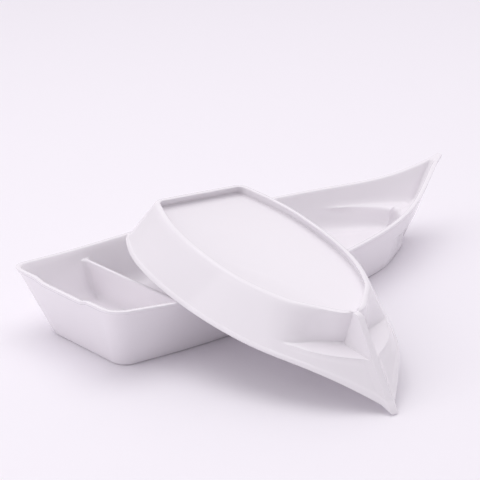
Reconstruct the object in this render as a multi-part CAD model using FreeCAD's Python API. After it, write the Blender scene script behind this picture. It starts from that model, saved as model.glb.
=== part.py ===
import FreeCAD, Part
import math
import os
from FreeCAD import Vector

# A chip and dip server: two boat-shaped dishes, each moulded in one piece.
# The large dish stands upright on its foot ring. The small dish lies upside
# down across it, with its rim on the large dish's rims and its bow on the table.
#
# Frame: +X from stern to bow of the large dish, +Y to its left, +Z up.
# Each dish is made with its stern rim above its own origin; then both are placed, so that
# the origin of the set is on the table, in the middle of the stern bar of the large dish's foot.

doc = FreeCAD.newDocument("ChipAndDipServer")

# Driving dimensions, in millimetres and degrees
sizes = {
    # shared by both dishes
    "wallAcross": 3.3,        # wall measured level, so about 3 mm through
    "panelThickness": 3.0,    # floor and bow ledge
    "lipProud": 0.8,
    "lipDepth": 3.0,
    "footWidth": 5.0,
    "recessDepth": 7.0,
    "recessDraft": 0.8,
    "stemHalfWidth": 2.8,
    "finSpread": 4.0,         # how much wider each side of the fin is at its root
    "apexRadius": 2.5,        # inside of the bow
    "dividerThickness": 3.0,
    "dividerRake": 6.0,
    "dipDepth": 3.0,
    "dipHalfWidth": 27.0,
    "dipRun": 10.0,           # length of each S-shaped end of the dip
    # large dish
    "largeLength": 400.0,
    "largeRimHalf": 78.2,
    "largeFootHalf": 56.5,
    "largeSternSet": 19.8,    # foot set in from the stern rim
    "largeBowSet": 46.0,      # foot set in from the bow tip
    "largeSternHeight": 54.1,
    "largeWaistHeight": 42.3,
    "largeBowHeight": 65.0,
    "largeProwLength": 9.0,
    "largeProwHalf": 6.0,
    "largeStemRoot": 11.0,    # half width of the foot where the stem leaves it
    "largeRimCorner": 15.0,
    "largeFootCorner": 13.0,
    "largeLedgeHeight": 28.0,
    "largeDividerAt": 74.5,
    "largeDividerHeight": 40.0,
    # small dish
    "smallLength": 281.5,
    "smallRimHalf": 76.4,
    "smallFootHalf": 55.3,
    "smallSternSet": 25.2,
    "smallBowSet": 51.6,
    "smallSternHeight": 39.6,
    "smallWaistHeight": 31.7,
    "smallBowHeight": 51.1,
    "smallProwLength": 8.0,
    "smallProwHalf": 5.9,
    "smallStemRoot": 9.0,
    "smallRimCorner": 14.0,
    "smallFootCorner": 9.0,
    "smallLedgeHeight": 27.0,
    "smallDividerAt": 64.0,
    "smallDividerHeight": 29.0,
    # where the small dish lies
    "smallAtX": 143.4,
    "smallAtY": 34.9,
    "smallYaw": -96.5,
    "tableGap": 0.3,          # under its bow tip
    "rimGap": 0.8,            # between the middles of the crossing rims
}
sheet = doc.addObject("Spreadsheet::Sheet", "Sizes")
for row, (name, value) in enumerate(sizes.items(), 1):
    sheet.set(f"A{row}", name)
    sheet.set(f"B{row}", str(value))
    sheet.setAlias(f"B{row}", name)
doc.recompute()

# Lines of each hull, from stern to bow, as shares of length and half breadth.
# The rim runs to the root of the prow, the foot to the stem.
hullLines = {
    "large": {
        "rim": [(0, 0.812), (0.171, 0.912), (0.344, 1), (0.587, 0.885), (0.786, 0.624), (0.906, 0.33)],
        "foot": [(0, 0.805), (0.22, 0.982), (0.43, 1), (0.63, 0.925), (0.81, 0.735), (0.93, 0.4)],
        "sheer": [(0.15, 0.5), (0.33, 0.115), (0.6, 0.01), (0.786, 0.08), (0.9, 0.34)],
    },
    "small": {
        "rim": [(0, 0.6), (0.166, 0.89), (0.394, 1), (0.613, 0.88), (0.766, 0.675), (0.853, 0.51)],
        "foot": [(0, 0.74), (0.22, 0.96), (0.38, 1), (0.663, 0.905), (0.83, 0.66), (0.94, 0.33)],
        "sheer": [(0.145, 0.456), (0.29, 0.089), (0.58, 0.06), (0.729, 0.101), (0.833, 0.144)],
    },
}
spread = 160.0       # reaches past any part of a dish
over = 6.0           # how far cutting tools run past what they cut


def size(name):
    return float(sheet.get(name))


def smooth(points):
    """Edge of a smooth curve through the points."""
    curve = Part.BSplineCurve()
    curve.interpolate(points)
    return curve


def flat(points, level):
    return [Vector(x, y, level) for x, y in points]


class Lines:
    """The shape of one dish, read from the sheet and its hull lines."""

    def __init__(self, which):
        def own(name):
            return size(which + name)

        lines = hullLines[which]
        self.length = own("Length")
        self.sternHeight = own("SternHeight")
        self.waistHeight = own("WaistHeight")
        self.bowHeight = own("BowHeight")
        self.top = self.bowHeight + over
        self.rimCorner = own("RimCorner")
        self.footCorner = own("FootCorner")
        self.sternSet = own("SternSet")
        self.footEnd = self.length - own("BowSet")
        self.prowLength = own("ProwLength")
        self.prowHalf = own("ProwHalf")
        self.stemHalf = size("stemHalfWidth")
        self.ledge = own("LedgeHeight")
        self.sheerShares = lines["sheer"]
        rimRun = self.length - self.prowLength
        rimHalf = own("RimHalf")
        footRun = self.footEnd - self.sternSet
        footHalf = own("FootHalf")
        self.rim = [(rimRun * along, rimHalf * across) for along, across in lines["rim"]]
        self.rim.append((rimRun, self.prowHalf))
        self.foot = [(self.sternSet + footRun * along, footHalf * across) for along, across in lines["foot"]]
        self.foot.append((self.footEnd - self.prowLength, own("StemRoot")))
        self.sheer = smooth([Vector(x, 0, z) for x, z in self.sheerPoints()])

    def sheerPoints(self):
        """Height of the rim along the dish."""
        points = [(0, self.sternHeight)]
        for along, rise in self.sheerShares:
            end = self.sternHeight if along < 0.5 else self.bowHeight
            points.append((self.length * along, self.waistHeight + (end - self.waistHeight) * rise))
        points.append((self.length, self.bowHeight))
        return points

    def rimHeight(self, x):
        column = Part.Line(Vector(x, 0, 0), Vector(x, 0, self.top))
        return self.sheer.intersectCC(column)[0].Z if x > 0.1 else self.sternHeight

    def side(self, level):
        """Points of the left side at a level, on straight lines from foot to rim."""
        points = []
        for (footX, footY), (rimX, rimY) in zip(self.foot, self.rim):
            share = level / self.rimHeight(rimX)
            points.append((footX + (rimX - footX) * share, footY + (rimY - footY) * share))
        return points

    def sternX(self, level):
        return self.sternSet * (1 - level / self.sternHeight)

    def stemX(self, level):
        return self.footEnd + (self.length - self.footEnd) * level / self.bowHeight

    def corner(self, level):
        share = min(level / self.waistHeight, 1.2)
        return self.footCorner + (self.rimCorner - self.footCorner) * share

    def half(self, level, inset):
        """Left side moved inwards, from behind the stern corner to the bow."""
        curve = smooth(flat(self.side(level), level))
        first, last = curve.FirstParameter, curve.LastParameter
        steps = 14
        stern = self.sternX(level) + inset
        radius = max(self.corner(level) - inset, 3.0)
        moved = []
        for step in range(steps + 1):
            at = first + (last - first) * step / steps
            point = curve.value(at)
            along = curve.tangent(at)[0]
            moved.append(point + Vector(along.y, -along.x, 0) * inset)
        start = moved[0]
        lean = (moved[1].y - start.y) / (moved[1].x - start.x)
        peak = Vector(stern, start.y + lean * (stern - start.x), level)
        kept = [point for point in moved if point.x > stern + radius * 1.25]
        begin = peak + Vector(1, lean, 0).normalize() * radius
        return peak, [begin] + kept, radius


def mirrored(point):
    return Vector(point.x, -point.y, point.z)


def bezier(*points):
    curve = Part.BezierCurve()
    curve.setPoles(list(points))
    return curve.toShape()


def bothSides(level, peak, side, radius, nose):
    """Closed outline: stern, two rounded corners, two sides and the nose edges."""
    inner = Vector(peak.x, peak.y - radius, level)
    left = smooth(side).toShape()
    right = smooth([mirrored(point) for point in reversed(side)]).toShape()
    edges = [
        Part.makeLine(mirrored(inner), inner),
        bezier(inner, peak, side[0]),
        left,
        *nose,
        right,
        bezier(mirrored(side[0]), mirrored(peak), mirrored(inner)),
    ]
    return Part.Wire(edges)


def outerWire(lines, level, inset=0.0):
    """Outside of a dish at a level, with the prow standing ahead of its sides."""
    peak, side, radius = lines.half(level, inset)
    root = side[-1]
    tip = Vector(lines.stemX(level) - inset, lines.stemHalf - inset / 2, level)
    nose = [Part.makeLine(root, tip), Part.makeLine(tip, mirrored(tip)), Part.makeLine(mirrored(tip), mirrored(root))]
    return bothSides(level, peak, side, radius, nose)


def innerWire(lines, level, inset):
    """Inside of a dish at a level, closed by a small round at the bow."""
    apex = size("apexRadius")
    peak, side, radius = lines.half(level, inset)
    side = [point for point in side if point.y > apex * 1.5]
    last, before = side[-1], side[-2]
    slope = (last.y - before.y) / (last.x - before.x)
    end = Vector(last.x + (apex - last.y) / slope, apex, level)
    side.append(end)
    nose = [Part.Arc(end, Vector(end.x + apex * 0.8, 0, level), mirrored(end)).toShape()]
    return bothSides(level, peak, side, radius, nose)


def ruled(lower, upper):
    return Part.makeLoft([lower, upper], True, True)


def aboveSheer(lines, drop):
    """Everything above the rim line lowered by drop."""
    points = [Vector(x, -spread, z - drop) for x, z in lines.sheerPoints()]
    edge = smooth(points)
    first, last = points[0], points[-1]
    before = first + Vector(-over * 4, 0, (first.z - points[1].z) * 0.2)
    after = last + Vector(over * 2, 0, over)
    roof = lines.top + over * 4
    corners = [before, Vector(before.x, -spread, roof), Vector(after.x, -spread, roof), after]
    edges = [Part.makeLine(first, before)]
    edges += [Part.makeLine(corners[i], corners[i + 1]) for i in range(3)]
    edges += [Part.makeLine(after, last), edge.toShape()]
    face = Part.Face(Part.Wire(Part.sortEdges(edges)[0]))
    return face.extrude(Vector(0, spread * 2, 0))


def sternDip(lines):
    """The shallow dip in the stern rim, with S-shaped ends."""
    floor = lines.sternHeight - size("dipDepth")
    rim = lines.sternHeight
    half, run = size("dipHalfWidth"), size("dipRun")
    back = -over * 2
    edges = []
    for sign in (1, -1):
        low = Vector(back, sign * (half - run / 2), floor)
        high = Vector(back, sign * (half + run / 2), rim)
        middle = Vector(0, sign * run / 2, 0)
        edges.append(bezier(low, low + middle, high - middle, high))
        edges.append(Part.makeLine(high, high + Vector(0, 0, over)))
    edges.append(Part.makeLine(Vector(back, half - run / 2, floor), Vector(back, run / 2 - half, floor)))
    edges.append(Part.makeLine(Vector(back, half + run / 2, rim + over), Vector(back, -half - run / 2, rim + over)))
    face = Part.Face(Part.Wire(Part.sortEdges(edges)[0]))
    return face.extrude(Vector(over * 2 + size("wallAcross") * 3, 0, 0))


def riserCore(lines, top, inset):
    """The deep part of a dish seen from above: everything behind its rounded bow end."""
    wires = []
    for level in (-over, top + over):
        at = max(level, 0)
        grow = at / lines.ledge
        hull = lines.side(at)
        foot = lines.foot
        start = hull[4]
        neck = foot[5]
        end = lines.footEnd - 4
        reach = end - neck[0]
        points = [
            Vector(start[0], start[1] + 1.5 - inset, level),
            Vector(neck[0] - 2 * (1 - grow) - inset, neck[1] + 4 * grow - inset * 0.7, level),
            Vector(neck[0] + reach * 0.6 - inset * 1.3, neck[1] * 0.6 + 2 * grow - inset * 0.3, level),
            Vector(end - inset * 1.8, 3.5, level),
        ]
        wide = Vector(start[0] - 3 * over, start[1] + 3 * over, level)
        edges = [
            Part.makeLine(mirrored(wide), wide),
            Part.makeLine(wide, points[0]),
            smooth(points).toShape(),
            Part.makeLine(points[-1], mirrored(points[-1])),
            smooth([mirrored(point) for point in reversed(points)]).toShape(),
            Part.makeLine(mirrored(points[0]), mirrored(wide)),
        ]
        wires.append(Part.Wire(edges))
    return ruled(*wires)


def bowBlock(lines, top, inset):
    """The space round the bow end of the deep part, below a level."""
    begin = lines.side(top)[4][0] - over
    block = Part.makeBox(spread, spread * 2, top + over, Vector(begin, -spread, -over))
    return block.cut(riserCore(lines, top, inset))


def fin(lines, top):
    """The wedge under the bow ledge that carries the stem down to the foot."""
    wires = []
    for level in (-over, top + over):
        front = lines.stemX(level)
        half = lines.stemHalf
        root = front - 30
        wide = half + size("finSpread") * 2
        corners = flat([(front, half), (front, -half), (root, -wide), (root, wide)], level)
        wires.append(Part.makePolygon(corners + corners[:1]))
    return ruled(*wires)


def divider(lines, which):
    """The wall between the dip well and the chip well."""
    thick = size("dividerThickness")
    height = size(which + "DividerHeight")
    slab = Part.makeBox(thick, spread * 2, height, Vector(-thick / 2, -spread, 0))
    rake = math.tan(math.radians(size("dividerRake")))
    lean = FreeCAD.Matrix()
    lean.A13 = -rake
    slab = slab.transformGeometry(lean)
    slab.translate(Vector(size(which + "DividerAt"), 0, 0))
    return slab


def dish(which):
    lines = Lines(which)
    across = size("wallAcross")
    proud = size("lipProud")
    floor = size("recessDepth") + size("panelThickness")
    under = lines.ledge - size("panelThickness")

    hull = ruled(outerWire(lines, 0, proud), outerWire(lines, lines.top, proud))
    lip = ruled(outerWire(lines, 0), outerWire(lines, lines.top))
    lip = lip.common(aboveSheer(lines, size("lipDepth")))
    body = hull.fuse(lip)

    inside = ruled(innerWire(lines, floor, across + proud), innerWire(lines, lines.top, across + proud))
    inside = inside.cut(bowBlock(lines, lines.ledge, across))
    wall = divider(lines, which).common(inside)
    recess = ruled(
        innerWire(lines, 0, size("footWidth")),
        innerWire(lines, size("recessDepth"), size("footWidth") + size("recessDraft")),
    )
    recess = recess.cut(bowBlock(lines, size("recessDepth"), size("footWidth")))
    pockets = bowBlock(lines, under, 0).cut(fin(lines, under))

    body = body.cut(pockets)
    body = body.cut(inside.cut(wall))
    body = body.cut(recess)
    body = body.cut(aboveSheer(lines, 0))
    body = body.cut(sternDip(lines))
    return body.removeSplitter()


def subPart(name, shape):
    part = doc.addObject("Part::Feature", name)
    part.Label = name
    part.Shape = shape
    return part


def rimLoop(which):
    """Middle of a rim all round, from the bow past the stern and back to the bow."""
    lines = Lines(which)
    curve = smooth(flat(lines.rim, 0))
    first, last = curve.FirstParameter, curve.LastParameter
    steps = 40
    left = []
    for step in range(steps + 1):
        point = curve.value(last + (first - last) * step / steps)
        left.append(Vector(point.x, point.y - size("wallAcross") / 2, lines.rimHeight(point.x)))
    return left + [mirrored(point) for point in reversed(left)]


def crossings(upper, lower):
    """Where two lines cross, seen from above: x, and the height of one over the other."""
    found = []
    for a, b in zip(upper, upper[1:]):
        for c, d in zip(lower, lower[1:]):
            across = (b.x - a.x) * (d.y - c.y) - (b.y - a.y) * (d.x - c.x)
            if abs(across) < 1e-9:
                continue
            s = ((c.x - a.x) * (d.y - c.y) - (c.y - a.y) * (d.x - c.x)) / across
            t = ((c.x - a.x) * (b.y - a.y) - (c.y - a.y) * (b.x - a.x)) / across
            if 0 <= s <= 1 and 0 <= t <= 1:
                found.append((a.x + (b.x - a.x) * s, a.z + (b.z - a.z) * s - c.z - (d.z - c.z) * t))
    return sorted(found)


def seat():
    """Placement of the small dish: bow tip on the table, rims across the large dish's right rim."""
    lines = Lines("small")
    tip = Vector(lines.length, 0, lines.bowHeight)
    smallRim = rimLoop("small")
    largeRim = [point for point in rimLoop("large") if point.y < 0]
    pitch, roll = 9.0, 177.0
    for _ in range(20):
        turn = FreeCAD.Rotation(size("smallYaw"), pitch, roll)
        base = Vector(size("smallAtX"), size("smallAtY"), size("tableGap") - turn.multVec(tip).z)
        placement = FreeCAD.Placement(base, turn)
        found = crossings([placement.multVec(point) for point in smallRim], largeRim)
        sternward, bowward = found[0], found[-1]
        short = size("rimGap") - (sternward[1] + bowward[1]) / 2
        pitch += math.degrees(short / lines.length) * 1.5
        roll += math.degrees((sternward[1] - bowward[1]) / (bowward[0] - sternward[0]))
    return placement


largeDish = subPart("large_dish", dish("large"))
smallDish = subPart("small_dish", dish("small"))
smallDish.Placement = seat()
origin = Vector(size("largeSternSet") + size("footWidth") / 2, 0, 0)
for part in (largeDish, smallDish):
    part.Placement.Base = part.Placement.Base - origin
doc.recompute()

os.makedirs("parts", exist_ok=True)
for thing in doc.Objects:
    if "Invalid" in thing.State or "Error" in thing.State:
        raise RuntimeError(thing.Label + " failed to build")
for part in (largeDish, smallDish):
    shape = part.Shape
    if shape.isNull() or not shape.isValid() or len(shape.Solids) != 1:
        raise RuntimeError(f"{part.Label}: null, not valid or {len(shape.Solids)} solids")
    shape.exportStep(f"parts/{part.Label}.step")
    print(part.Label, round(shape.Volume), [round(v, 1) for v in (shape.BoundBox.XMin, shape.BoundBox.XMax,
          shape.BoundBox.YMin, shape.BoundBox.YMax, shape.BoundBox.ZMin, shape.BoundBox.ZMax)])
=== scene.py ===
import math

import bmesh
import bpy
import numpy as np
from mathutils import Euler, Matrix, Vector


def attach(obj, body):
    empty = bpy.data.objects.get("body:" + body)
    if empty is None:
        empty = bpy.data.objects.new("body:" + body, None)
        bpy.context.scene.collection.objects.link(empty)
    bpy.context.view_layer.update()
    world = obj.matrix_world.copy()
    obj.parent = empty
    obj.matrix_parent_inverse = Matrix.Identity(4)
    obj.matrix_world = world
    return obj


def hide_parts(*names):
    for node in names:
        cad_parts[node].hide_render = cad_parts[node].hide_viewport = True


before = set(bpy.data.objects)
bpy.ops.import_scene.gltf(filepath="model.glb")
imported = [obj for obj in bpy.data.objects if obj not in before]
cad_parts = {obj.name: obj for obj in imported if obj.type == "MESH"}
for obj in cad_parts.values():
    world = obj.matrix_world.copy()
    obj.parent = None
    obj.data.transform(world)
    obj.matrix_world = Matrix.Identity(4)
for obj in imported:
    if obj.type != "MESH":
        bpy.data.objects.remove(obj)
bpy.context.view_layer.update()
print("frame loaded")

mm = 0.001

# what both dishes share, in millimetres and degrees
moulding = {
    "wall": 3.3,
    "panel": 3.0,
    "lipProud": 0.8,
    "lipDepth": 3.0,
    "footWidth": 5.0,
    "recessDepth": 7.0,
    "stemHalf": 2.8,
    "finSpread": 3.4,
    "finRun": 30.0,
    "apexRadius": 2.5,
    "dividerThickness": 3.0,
    "dividerRake": 6.0,
    "dipDepth": 3.0,
    "dipHalf": 27.0,
    "dipRun": 10.0,
    "floorFillet": 9.0,
    "leastCorner": 3.0,
    "sternZone": 14,         # plan points nearer the stern than this can lie in the dip
    "creaseAngle": 38,
}

# points on each half ring: stern bar, corner, flank, bow, nose, front
ringSteps = {"stern": 6, "corner": 8, "flank": 30, "bow": 18, "nose": 7, "front": 1}

# points worked out along each curve before it is spaced into a ring
samples = {"flank": 160, "bow": 81, "corner": 33, "nose": 17, "riser": 200, "levels": 15}
bowStation = 4      # control point where the flank gives way to the bow
slopeReach = 6      # samples over which the flank's slope at the stern is read
settleRounds = 8    # rounds in which a ring's height and plan settle together
weldGap = 0.002

largeDish = {
    "name": "largeDish",
    "body": "large",
    "node": "large_dish",
    "length": 400.0,
    "rimHalf": 78.2,
    "footHalf": 56.5,
    "sternSet": 19.8,
    "bowSet": 46.0,
    "sternHeight": 54.1,
    "waistHeight": 42.3,
    "bowHeight": 65.0,
    "prowLength": 9.0,
    "prowHalf": 6.0,
    "stemRoot": 11.0,
    "rimCorner": 15.0,
    "footCorner": 13.0,
    "ledge": 28.0,
    "dividerAt": 74.5,
    "dividerHeight": 40.0,
    "rim": [(0, 0.812), (0.171, 0.912), (0.344, 1), (0.587, 0.885), (0.786, 0.624), (0.906, 0.33)],
    "foot": [(0, 0.805), (0.22, 0.982), (0.43, 1), (0.63, 0.925), (0.81, 0.735), (0.93, 0.4)],
    "sheer": [(0.15, 0.5), (0.33, 0.115), (0.6, 0.01), (0.786, 0.08), (0.9, 0.34)],
    "at": (-22.3, 0.0, 0.0),
    "turn": (0.0, 0.0, 0.0),
}

smallDish = {
    "name": "smallDish",
    "body": "small",
    "node": "small_dish",
    "length": 281.5,
    "rimHalf": 76.4,
    "footHalf": 55.3,
    "sternSet": 25.2,
    "bowSet": 51.6,
    "sternHeight": 39.6,
    "waistHeight": 31.7,
    "bowHeight": 51.1,
    "prowLength": 8.0,
    "prowHalf": 5.9,
    "stemRoot": 9.0,
    "rimCorner": 14.0,
    "footCorner": 9.0,
    "ledge": 27.0,
    "dividerAt": 64.0,
    "dividerHeight": 29.0,
    "rim": [(0, 0.6), (0.166, 0.89), (0.394, 1), (0.613, 0.88), (0.766, 0.675), (0.853, 0.51)],
    "foot": [(0, 0.74), (0.22, 0.96), (0.38, 1), (0.663, 0.905), (0.83, 0.66), (0.94, 0.33)],
    "sheer": [(0.145, 0.456), (0.29, 0.089), (0.58, 0.06), (0.729, 0.101), (0.833, 0.144)],
    "at": (121.1, 34.9, 95.73),
    "turn": (176.837, 9.2123, -96.5),
}


# smooth curve through the points, as a function of 0 to 1
def curveThrough(points, along=None):
    points = np.array(points, float)
    if along is None:
        along = np.concatenate(([0.0], np.cumsum(np.linalg.norm(np.diff(points, axis=0), axis=1))))
    along = np.array(along, float)
    along = along / along[-1]
    count = len(along)
    gaps = np.diff(along)
    system, pull = np.zeros((count, count)), np.zeros(points.shape)
    system[0, 0] = system[-1, -1] = 1
    for i in range(1, count - 1):
        before, after = gaps[i - 1], gaps[i]
        system[i, i - 1 : i + 2] = before, 2 * (before + after), after
        pull[i] = 6 * ((points[i + 1] - points[i]) / after - (points[i] - points[i - 1]) / before)
    bend = np.linalg.solve(system, pull)

    def at(share):
        share = np.atleast_1d(np.asarray(share, float))
        i = np.clip(np.searchsorted(along, share) - 1, 0, count - 2)
        a = ((along[i + 1] - share) / gaps[i])[:, None]
        b = ((share - along[i]) / gaps[i])[:, None]
        swell = ((a**3 - a) * bend[i] + (b**3 - b) * bend[i + 1]) * (gaps[i] ** 2)[:, None] / 6
        return a * points[i] + b * points[i + 1] + swell

    at.stations = along
    return at


# the line again, with evenly spaced points
def spaced(line, steps):
    line = np.array(line, float)
    run = np.concatenate(([0.0], np.cumsum(np.linalg.norm(np.diff(line, axis=0), axis=1))))
    at = np.linspace(0, run[-1], steps + 1)
    return np.column_stack([np.interp(at, run, line[:, k]) for k in range(line.shape[1])])


# the line moved to its right hand side, which is inwards on a left flank
def movedIn(line, inset):
    along = np.gradient(line, axis=0)
    along /= np.linalg.norm(along, axis=1)[:, None]
    return line + np.column_stack((along[:, 1], -along[:, 0])) * inset


def joined(*parts):
    return np.vstack([parts[0]] + [part[1:] for part in parts[1:]])


# outlines of one dish in its own frame: stern to bow along x, up along z
class Hull:
    def __init__(self, dish):
        self.dish = dish
        self.stacks = {}
        self.length = dish["length"]
        self.top = dish["bowHeight"] + 6
        self.footEnd = self.length - dish["bowSet"]
        stations = [(0, dish["sternHeight"])]
        for along, rise in dish["sheer"]:
            end = dish["sternHeight"] if along < 0.5 else dish["bowHeight"]
            height = dish["waistHeight"] + (end - dish["waistHeight"]) * rise
            stations.append((self.length * along, height))
        stations.append((self.length, dish["bowHeight"]))
        self.sheer = curveThrough([[z] for _, z in stations], [x for x, _ in stations])
        rimRun = self.length - dish["prowLength"]
        footRun = self.footEnd - dish["sternSet"]
        self.rim = [(rimRun * a, dish["rimHalf"] * b) for a, b in dish["rim"]]
        self.rim.append((rimRun, dish["prowHalf"]))
        self.foot = [(dish["sternSet"] + footRun * a, dish["footHalf"] * b) for a, b in dish["foot"]]
        self.foot.append((self.footEnd - dish["prowLength"], dish["stemRoot"]))

    # height of the rim over points of a plan, with the dip in the stern
    def rimLine(self, plan):
        x, y = plan[:, 0], np.abs(plan[:, 1])
        height = self.sheer(np.clip(x / self.length, 0, 1))[:, 0]
        reach = moulding["dipHalf"] + moulding["dipRun"] / 2
        share = np.clip((reach - y) / moulding["dipRun"], 0, 1)
        share = share * share * (3 - 2 * share)
        return height - moulding["dipDepth"] * share * (x < moulding["sternZone"])

    def sidePoints(self, level):
        points = []
        for (footX, footY), (rimX, rimY) in zip(self.foot, self.rim):
            share = level / self.sheer(rimX / self.length)[0, 0]
            points.append((footX + (rimX - footX) * share, footY + (rimY - footY) * share))
        return points

    def stemX(self, level):
        return self.footEnd + (self.length - self.footEnd) * level / self.dish["bowHeight"]

    # left half of an outline at one level, from the stern to the bow
    def outline(self, level, inset, bow):
        dish = self.dish
        curve = curveThrough(self.sidePoints(level))
        split = curve.stations[bowStation]
        flankPart = np.linspace(0, split, samples["flank"])
        bowPart = np.linspace(split, 1, samples["bow"])[1:]
        side = curve(np.concatenate((flankPart, bowPart)))
        side = movedIn(side, inset)
        stern = dish["sternSet"] * (1 - level / dish["sternHeight"]) + inset
        share = min(level / dish["waistHeight"], 1.2)
        radius = dish["footCorner"] + (dish["rimCorner"] - dish["footCorner"]) * share - inset
        radius = max(radius, moulding["leastCorner"])
        lean = (side[slopeReach, 1] - side[0, 1]) / (side[slopeReach, 0] - side[0, 0])
        peak = np.array([stern, side[0, 1] + lean * (stern - side[0, 0])])
        begin = peak + np.array([1, lean]) / math.hypot(1, lean) * radius
        inner = peak - np.array([0, radius])
        t = np.linspace(0, 1, samples["corner"])[:, None]
        corner = (1 - t) ** 2 * inner + 2 * t * (1 - t) * peak + t * t * begin
        flank = side[: samples["flank"]]
        flank = np.vstack((begin, flank[flank[:, 0] > begin[0] + 1]))
        ahead = side[samples["flank"] - 1 :]
        if bow in ("riser", "well"):
            ahead = self.riser(curve, split, level, inset)
        front = None
        if bow == "prow":
            tip = np.array([self.stemX(level) - inset, moulding["stemHalf"] - inset / 2])
            nose, front = np.vstack((ahead[-1], tip)), np.vstack((tip, (tip[0], 0)))
        elif bow == "riser":
            tip = np.array([self.stemX(level) - inset, moulding["stemHalf"] - inset / 2])
            root = np.array([tip[0] - moulding["finRun"], tip[1] + moulding["finSpread"]])
            ahead[:, 1] = np.maximum(ahead[:, 1], tip[1] + 0.5)
            finHalf = root[1] + (tip[1] - root[1]) * (ahead[:, 0] - root[0]) / (tip[0] - root[0])
            free = ahead[:, 1] > finHalf
            ahead = ahead[: max(int(np.argmin(free)), 4)] if not free.all() else ahead
            nose, front = np.vstack((ahead[-1], tip)), np.vstack((tip, (tip[0], 0)))
        else:
            apex = moulding["apexRadius"] if bow == "apex" else 5.0
            free = ahead[:, 1] > apex * 1.2
            ahead = ahead[: int(np.argmin(free))] if not free.all() else ahead
            slope = (ahead[-1, 1] - ahead[-3, 1]) / (ahead[-1, 0] - ahead[-3, 0])
            end = np.array([ahead[-1, 0] + (apex - ahead[-1, 1]) / slope, apex])
            ahead = np.vstack((ahead, end))
            t = np.linspace(0, math.pi / 2, samples["nose"])[:, None]
            nose = np.hstack((end[0] + 0.8 * apex * np.sin(t), apex * np.cos(t)))
        parts = [
            spaced(np.array([[stern, 0], inner]), ringSteps["stern"]),
            spaced(corner, ringSteps["corner"]),
            spaced(flank, ringSteps["flank"]),
            spaced(ahead, ringSteps["bow"]),
        ]
        if front is None:
            parts.append(spaced(nose, ringSteps["nose"] + ringSteps["front"]))
        else:
            parts += [spaced(nose, ringSteps["nose"]), spaced(front, ringSteps["front"])]
        return joined(*parts)

    # end of the deep part under the bow ledge, running out of the flank
    def riser(self, curve, split, level, inset):
        dish = self.dish
        grow = level / dish["ledge"]
        neck, end = self.foot[-2], self.footEnd - 4
        reach = end - neck[0]
        points = [*curve([split - 0.12, split - 0.06, split])]
        points.append((neck[0] - 2 * (1 - grow), neck[1] + 4 * grow))
        points.append((neck[0] + reach * 0.6, neck[1] * 0.6 + 2 * grow))
        points.append((end, 3.5))
        arc = curveThrough(points)
        line = movedIn(arc(np.linspace(0, 1, samples["riser"])), inset)
        begin = movedIn(curve([split - 0.01, split, split + 0.01]), inset)[1, 0]
        return line[line[:, 0] >= begin]

    # half ring at one height
    def level(self, height, inset, bow):
        plan = self.outline(height, inset, bow)
        return np.column_stack((plan, np.full(len(plan), height)))

    # half ring whose height depends on where it is, between outlines at many levels
    def follow(self, heights, inset, bow):
        if (inset, bow) not in self.stacks:
            levels = np.linspace(0, self.top, samples["levels"])
            self.stacks[inset, bow] = np.array([self.outline(z, inset, bow) for z in levels])
        plans = self.stacks[inset, bow]
        z = np.full(plans.shape[1], self.dish["waistHeight"])
        each = np.arange(plans.shape[1])
        last = samples["levels"] - 1
        for _ in range(settleRounds):
            at = np.clip(z / self.top * last, 0, last - 0.001)
            i = at.astype(int)
            part = (at - i)[:, None]
            plan = plans[i, each] * (1 - part) + plans[i + 1, each] * part
            z = heights(plan)
        return np.column_stack((plan, z))


# 0 where the deep part and the hull run together, 1 where the bow ledge lies between them
def ledgeShare(deep, wide):
    share = np.clip(np.linalg.norm(wide - deep, axis=1) / 6, 0, 1)
    return (share * share * (3 - 2 * share))[:, None]


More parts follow.
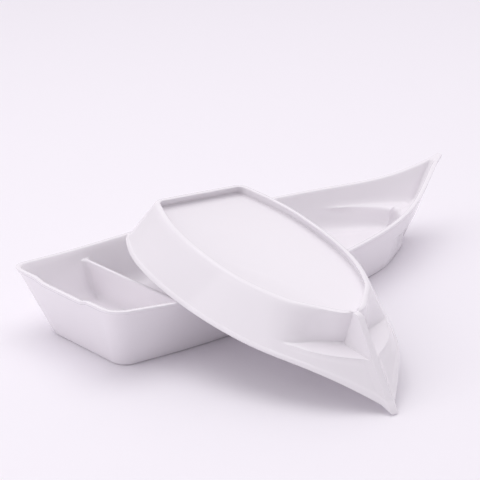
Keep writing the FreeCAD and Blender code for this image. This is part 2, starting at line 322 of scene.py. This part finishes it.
# half rings from the recess under the foot, over the rim, to the floor
def dishRings(hull):
    dish = hull.dish
    proud, wall = moulding["lipProud"], moulding["wall"] + moulding["lipProud"]
    recess, width = moulding["recessDepth"], moulding["footWidth"]
    under = dish["ledge"] - moulding["panel"]
    floor = recess + moulding["panel"]
    lipRound, ledgeRound = 0.9, 3.2
    rings = []

    # the recess, from its panel down to the foot, then the foot ring's outer edge
    recessEdge = [(3.0, 0), (1.5, 0.5), (0.9, 1.5), (0.1, recess - 0.8), (-0.4, recess - 0.3), (-1.2, recess)]
    for inset, height in recessEdge:
        rings.append(hull.level(recess - height, width + inset, "well"))
    for inset, height in ((1.8, 0), (0.5, 0.5), (0, 1.8)):
        rings.append(hull.level(height, proud + inset, "riser"))
    for share in (0.25, 0.5, 0.75, 0.92):
        rings.append(hull.level(under * share, proud, "riser"))

    # under the bow ledge: the riser turns out into the ledge, then up round its edge
    deep, wide = hull.level(under, proud, "riser"), hull.level(under, proud, "prow")
    ahead = ledgeShare(deep, wide)
    for out, rise, flankRise in ((0.0, -1.0, -1.2), (0.04, -0.3, -0.8), (0.14, 0, -0.4), (0.92, 0, 0.0)):
        shelfRing = deep + (wide - deep) * out + np.array([0, 0, rise])
        flank = hull.level(under + flankRise, proud, "riser")
        rings.append(flank + (shelfRing - flank) * ahead)
    for inset, rise, flankRise in ((0.35, 0.15, 0.6), (0, 0.9, 1.2)):
        shelfRing = hull.level(under, proud + inset, "prow") + np.array([0, 0, rise])
        flank = hull.level(under + flankRise, proud, "prow")
        rings.append(flank + (shelfRing - flank) * ahead)

    # up the outside and over the lip
    def lipFoot(plan):
        return hull.rimLine(plan) - moulding["lipDepth"]

    base = under + 1.2
    for share in (0.2, 0.4, 0.6, 0.8, 0.97):
        rings.append(hull.follow(lambda plan: base + (lipFoot(plan) - base) * share, proud, "prow"))
    for inset, drop in ((0.75, 3.0), (0.1, 2.75), (0, 2.3), (0, 0.9), (0.3, 0.25), (0.9, 0)):
        rings.append(hull.follow(lambda plan: hull.rimLine(plan) - drop, inset, "prow"))
    for inset, drop in ((0.9, 0), (0.3, 0.25), (0, 0.9)):
        rings.append(hull.follow(lambda plan: hull.rimLine(plan) - drop, wall - inset, "apex"))

    # inside, down to the ledge
    shelf = dish["ledge"]
    foot = shelf + ledgeRound

    def innerHeight(plan, share):
        rim = hull.rimLine(plan)
        return rim - lipRound + (foot - rim + lipRound) * share

    for share in (0.2, 0.4, 0.6, 0.8, 1.0):
        rings.append(hull.follow(lambda plan: innerHeight(plan, share), wall, "apex"))
    deep, wide = hull.level(shelf, wall, "well"), hull.level(shelf, wall + ledgeRound, "apex")
    ahead = ledgeShare(deep, hull.level(shelf, wall, "apex"))
    for inset, rise, flankRise in ((0.5, 1.4, 2.2), (1.5, 0.4, 1.6), (ledgeRound, 0, 1.0)):
        shelfRing = hull.level(shelf, wall + inset, "apex") + np.array([0, 0, rise])
        flank = hull.level(shelf + flankRise, wall, "apex")
        rings.append(flank + (shelfRing - flank) * ahead)
    for out, rise, flankRise in ((0.5, 0, 0.4), (0.24, -0.5, -0.4), (0.08, -1.7, -1.6), (0, -3.6, -3.4)):
        shelfRing = deep + (wide - deep) * out + np.array([0, 0, rise])
        flank = hull.level(shelf + flankRise, wall, "well")
        rings.append(flank + (shelfRing - flank) * ahead)

    # down the deep part and round into the floor
    fillet = moulding["floorFillet"]
    top = min(shelf - 5, floor + fillet)
    rings.append(hull.level((shelf - 3.4 + top) / 2, wall, "well"))
    for step in range(7):
        angle = math.pi / 2 * step / 6
        drop = (top - floor) * (1 - math.sin(angle))
        rings.append(hull.level(floor + drop, wall + fillet * 0.8 * (1 - math.cos(angle)), "well"))
    return rings


# half ring and its mirror image as one closed list of points
def wholeRing(half):
    right = half[1:-1][::-1] * np.array([1, -1, 1])
    return np.vstack((half, right))


def placement(dish):
    turn = Euler([math.radians(a) for a in dish["turn"]], "XYZ").to_matrix().to_4x4()
    return Matrix.Translation(Vector(dish["at"]) * mm) @ turn @ Matrix.Scale(mm, 4)


def closedLoop(bm, points):
    verts = [bm.verts.new(point) for point in points]
    return [bm.edges.new((verts[i], verts[(i + 1) % len(verts)])) for i in range(len(verts))]


def meshFrom(bm, name, matrix):
    bmesh.ops.remove_doubles(bm, verts=bm.verts[:], dist=weldGap)
    bmesh.ops.transform(bm, matrix=matrix, verts=bm.verts[:])
    bmesh.ops.recalc_face_normals(bm, faces=bm.faces[:])
    mesh = bpy.data.meshes.new(name)
    bm.to_mesh(mesh)
    bm.free()
    shape = bpy.data.objects.new(name, mesh)
    bpy.context.scene.collection.objects.link(shape)
    return shape


def hullShape(hull, matrix):
    bm = bmesh.new()
    loops = [closedLoop(bm, wholeRing(half)) for half in dishRings(hull)]
    for lower, upper in zip(loops, loops[1:]):
        bmesh.ops.bridge_loops(bm, edges=lower + upper)
    for loop in (loops[0], loops[-1]):
        bmesh.ops.contextual_create(bm, geom=loop)
    return meshFrom(bm, hull.dish["name"], matrix)


def dividerShape(hull, matrix):
    dish = hull.dish
    half = moulding["dividerThickness"] / 2
    floor = moulding["recessDepth"] + moulding["panel"]
    crown = dish["dividerHeight"]
    wall = moulding["wall"] + moulding["lipProud"]
    rake = math.tan(math.radians(moulding["dividerRake"]))
    rise = [(half + 5, floor - 1.5), (half + 5, floor - 0.1)]
    rise += [(half + 2.6, floor + 0.5), (half + 1, floor + 1.8)]
    rise += [(half + 0.2, floor + 4), (half, floor + 7), (half, crown - 6), (half, crown - half)]
    rise += [(half * math.cos(a), crown - half + half * math.sin(a)) for a in (0.4, 0.8, 1.2)]
    profile = rise + [(0, crown)] + [(-out, z) for out, z in reversed(rise)]
    inner = {z: hull.outline(z, wall, "well") for _, z in profile if z >= floor}

    def innerHalf(x, z):
        plan = inner[max(z, floor)] if max(z, floor) in inner else hull.outline(max(z, floor), wall, "well")
        start = ringSteps["stern"] + ringSteps["corner"]
        flank = plan[start : start + ringSteps["flank"]]
        return float(np.interp(x, flank[:, 0], flank[:, 1]))

    bm = bmesh.new()
    loops = []
    stations = [(-1.7, 4), (-0.2, 4), (0.5, 2.4), (1.5, 1.2), (3, 0.4), (5, 0.05)]
    stations += [(8, 0), (20, 0), (40, 0)]
    sides = [(1, *station) for station in stations] + [(-1, *station) for station in reversed(stations)]
    for side, depth, flare in sides:
        ring = []
        for out, z in profile:
            x = dish["dividerAt"] - rake * z + out + math.copysign(flare, out) * min(abs(out) / half, 1)
            ring.append((x, side * (innerHalf(x, z) - depth), z))
        loops.append(closedLoop(bm, ring))
    for lower, upper in zip(loops, loops[1:]):
        bmesh.ops.bridge_loops(bm, edges=lower + upper)
    for loop in (loops[0], loops[-1]):
        bmesh.ops.contextual_create(bm, geom=loop)
    return meshFrom(bm, dish["name"] + "Divider", matrix)


# one closed mesh of both, in the first one's object
def fused(shape, tool):
    union = shape.modifiers.new("union", "BOOLEAN")
    union.operation = "UNION"
    union.solver = "EXACT"
    union.object = tool
    bpy.context.view_layer.update()
    graph = bpy.context.evaluated_depsgraph_get()
    mesh = bpy.data.meshes.new_from_object(shape.evaluated_get(graph))
    shape.modifiers.clear()
    shape.data = mesh
    bpy.data.objects.remove(tool)
    return shape


def finishShape(shape, material):
    mesh = shape.data
    mesh.materials.clear()
    mesh.materials.append(material)
    mesh.shade_smooth()
    mesh.set_sharp_from_angle(angle=math.radians(moulding["creaseAngle"]))


# a socket that adds Math nodes when it is used in arithmetic
class Channel:
    def __init__(self, tree, socket):
        self.tree, self.socket = tree, socket

    def math(self, operation, first, second):
        node = self.tree.nodes.new("ShaderNodeMath")
        node.operation = operation
        for slot, value in zip(node.inputs, (first, second)):
            if isinstance(value, Channel):
                self.tree.links.new(value.socket, slot)
            else:
                slot.default_value = value
        return Channel(self.tree, node.outputs[0])

    def __add__(self, other):
        return self.math("ADD", self, other)

    def __radd__(self, other):
        return self.math("ADD", other, self)

    def __sub__(self, other):
        return self.math("SUBTRACT", self, other)

    def __rsub__(self, other):
        return self.math("SUBTRACT", other, self)

    def __mul__(self, other):
        return self.math("MULTIPLY", self, other)

    def __rmul__(self, other):
        return self.math("MULTIPLY", other, self)


# a material and a short way to add nodes to it
class Finish:
    def __init__(self, name):
        self.material = bpy.data.materials.new(name)
        self.material.use_nodes = True
        self.tree = self.material.node_tree
        self.tree.nodes.clear()

    def node(self, kind, settings, values):
        node = self.tree.nodes.new(kind)
        for name, value in settings.items():
            setattr(node, name, value)
        for name, value in values.items():
            slot = node.inputs[name]
            if isinstance(value, Channel):
                self.tree.links.new(value.socket, slot)
            else:
                slot.default_value = value
        return node

    def out(self, node, name):
        return Channel(self.tree, node.outputs[name])


def glossWhite(dish):
    look = {
        "tint": (0.915, 0.885, 0.915, 1),
        "tintDeep": (0.90, 0.87, 0.905, 1),
        "roughness": 0.1,
        "roughnessRange": 0.06,
        "flowScale": 9.0,
        "skinScale": 260.0,
        "skinDepth": 0.035,
        "skinRoughness": 0.03,
        "bumpReach": 0.0002,
    }
    firstColour, secondColour, mixedColour = 6, 7, 2    # colour sockets of the Mix node
    made = Finish(dish["name"] + "GlossWhite")
    place = made.out(made.node("ShaderNodeTexCoord", {}, {}), "Object")
    flow = made.node("ShaderNodeTexNoise", {}, {"Vector": place, "Scale": look["flowScale"], "Detail": 3.0})
    skin = made.node("ShaderNodeTexNoise", {}, {"Vector": place, "Scale": look["skinScale"], "Detail": 2.0})
    colour = made.node(
        "ShaderNodeMix",
        {"data_type": "RGBA"},
        {"Factor": made.out(flow, "Fac"), firstColour: look["tint"], secondColour: look["tintDeep"]},
    )
    rough = look["roughness"] + (made.out(flow, "Fac") - 0.5) * look["roughnessRange"]
    rough = rough + (made.out(skin, "Fac") - 0.5) * look["skinRoughness"]
    bump = made.node(
        "ShaderNodeBump",
        {},
        {"Height": made.out(skin, "Fac"), "Strength": look["skinDepth"], "Distance": look["bumpReach"]},
    )
    surface = made.node(
        "ShaderNodeBsdfPrincipled",
        {},
        {
            "Base Color": Channel(made.tree, colour.outputs[mixedColour]),
            "Roughness": rough,
            "IOR": 1.5,
            "Normal": made.out(bump, "Normal"),
        },
    )
    made.node("ShaderNodeOutputMaterial", {}, {"Surface": made.out(surface, "BSDF")})
    return made.material


for dish in (largeDish, smallDish):
    hull = Hull(dish)
    matrix = placement(dish)
    shape = fused(hullShape(hull, matrix), dividerShape(hull, matrix))
    finishShape(shape, glossWhite(dish))
    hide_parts(dish["node"])
    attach(shape, dish["body"])
    print("made", dish["name"], len(shape.data.polygons))


studio = {
    "floorColour": (0.93, 0.905, 0.945, 1),
    "worldColour": (0.92, 0.885, 0.935, 1),
    "backdropColour": (0.90, 0.85, 0.93, 1),
    "brightSide": (0.2, 0.4, 0.89),
    "worldDim": 0.12,
    "worldBright": 1.0,
    "tableHalf": 6,
    "tableRoughness": 0.6,
    "tableShine": 0.2,
}

lamps = {
    "overheadBox": {"at": (0.3, 0.2, 1.8), "aim": (0.12, -0.05, 0), "size": (1.8, 1.5), "power": 9},
    "sideBox": {"at": (-1.35, 0.42, 0.85), "aim": (0.05, -0.11, 0.06), "size": (1.05, 1.2), "power": 3.6},
}


def makeTable():
    bm = bmesh.new()
    bmesh.ops.create_grid(bm, x_segments=2, y_segments=2, size=studio["tableHalf"])
    mesh = bpy.data.meshes.new("table")
    bm.to_mesh(mesh)
    bm.free()
    table = bpy.data.objects.new("table", mesh)
    bpy.context.scene.collection.objects.link(table)
    made = Finish("paleTable")
    surface = made.node(
        "ShaderNodeBsdfPrincipled",
        {},
        {
            "Base Color": studio["floorColour"],
            "Roughness": studio["tableRoughness"],
            "Specular IOR Level": studio["tableShine"],
        },
    )
    made.node("ShaderNodeOutputMaterial", {}, {"Surface": made.out(surface, "BSDF")})
    mesh.materials.append(made.material)


def makeWorld():
    world = bpy.data.worlds.new("studioWorld")
    bpy.context.scene.world = world
    world.use_nodes = True
    tree = world.node_tree
    tree.nodes.clear()
    way = tree.nodes.new("ShaderNodeTexCoord")
    facing = tree.nodes.new("ShaderNodeVectorMath")
    facing.operation = "DOT_PRODUCT"
    facing.inputs[1].default_value = studio["brightSide"]
    shade = tree.nodes.new("ShaderNodeMapRange")
    shade.inputs["From Min"].default_value = -1
    shade.inputs["To Min"].default_value = studio["worldDim"]
    shade.inputs["To Max"].default_value = studio["worldBright"]
    lit = tree.nodes.new("ShaderNodeBackground")
    lit.inputs["Color"].default_value = studio["worldColour"]
    plain = tree.nodes.new("ShaderNodeBackground")
    plain.inputs["Color"].default_value = studio["backdropColour"]
    seen = tree.nodes.new("ShaderNodeLightPath")
    mix = tree.nodes.new("ShaderNodeMixShader")
    out = tree.nodes.new("ShaderNodeOutputWorld")
    tree.links.new(way.outputs["Generated"], facing.inputs[0])
    tree.links.new(facing.outputs["Value"], shade.inputs["Value"])
    tree.links.new(shade.outputs["Result"], lit.inputs["Strength"])
    tree.links.new(seen.outputs["Is Camera Ray"], mix.inputs[0])
    tree.links.new(lit.outputs[0], mix.inputs[1])
    tree.links.new(plain.outputs[0], mix.inputs[2])
    tree.links.new(mix.outputs[0], out.inputs["Surface"])


def softBox(name, at, aim, size, power):
    lamp = bpy.data.lights.new(name, "AREA")
    lamp.shape = "RECTANGLE"
    lamp.size, lamp.size_y = size
    lamp.energy = power
    box = bpy.data.objects.new(name, lamp)
    bpy.context.scene.collection.objects.link(box)
    box.location = at
    box.rotation_euler = (Vector(aim) - Vector(at)).to_track_quat("-Z", "Y").to_euler()


makeTable()
makeWorld()
for name, lamp in lamps.items():
    softBox(name, **lamp)
print("table and lights placed")

viewpoint = {
    "at": (-0.7115, -1.0060, 0.5575),
    "lens": 136.66,
    "sensor": 36,
    "azimuth": -40.617,
    "down": 21.121,
    "roll": -1.047,
}
camera = bpy.data.cameras.new("camera")
camera.lens = viewpoint["lens"]
camera.sensor_width = viewpoint["sensor"]
stand = bpy.data.objects.new("camera", camera)
bpy.context.scene.collection.objects.link(stand)
azimuth, down, roll = [math.radians(viewpoint[turn]) for turn in ("azimuth", "down", "roll")]
stand.location = viewpoint["at"]
turns = [(0, 0, azimuth), (math.pi / 2 - down, 0, 0), (0, 0, roll)]
heading, tilt, twist = [Euler(turn).to_matrix() for turn in turns]
stand.rotation_euler = (heading @ tilt @ twist).to_euler()
bpy.context.scene.camera = stand
bpy.context.scene.view_settings.view_transform = "Standard"
print("camera placed")
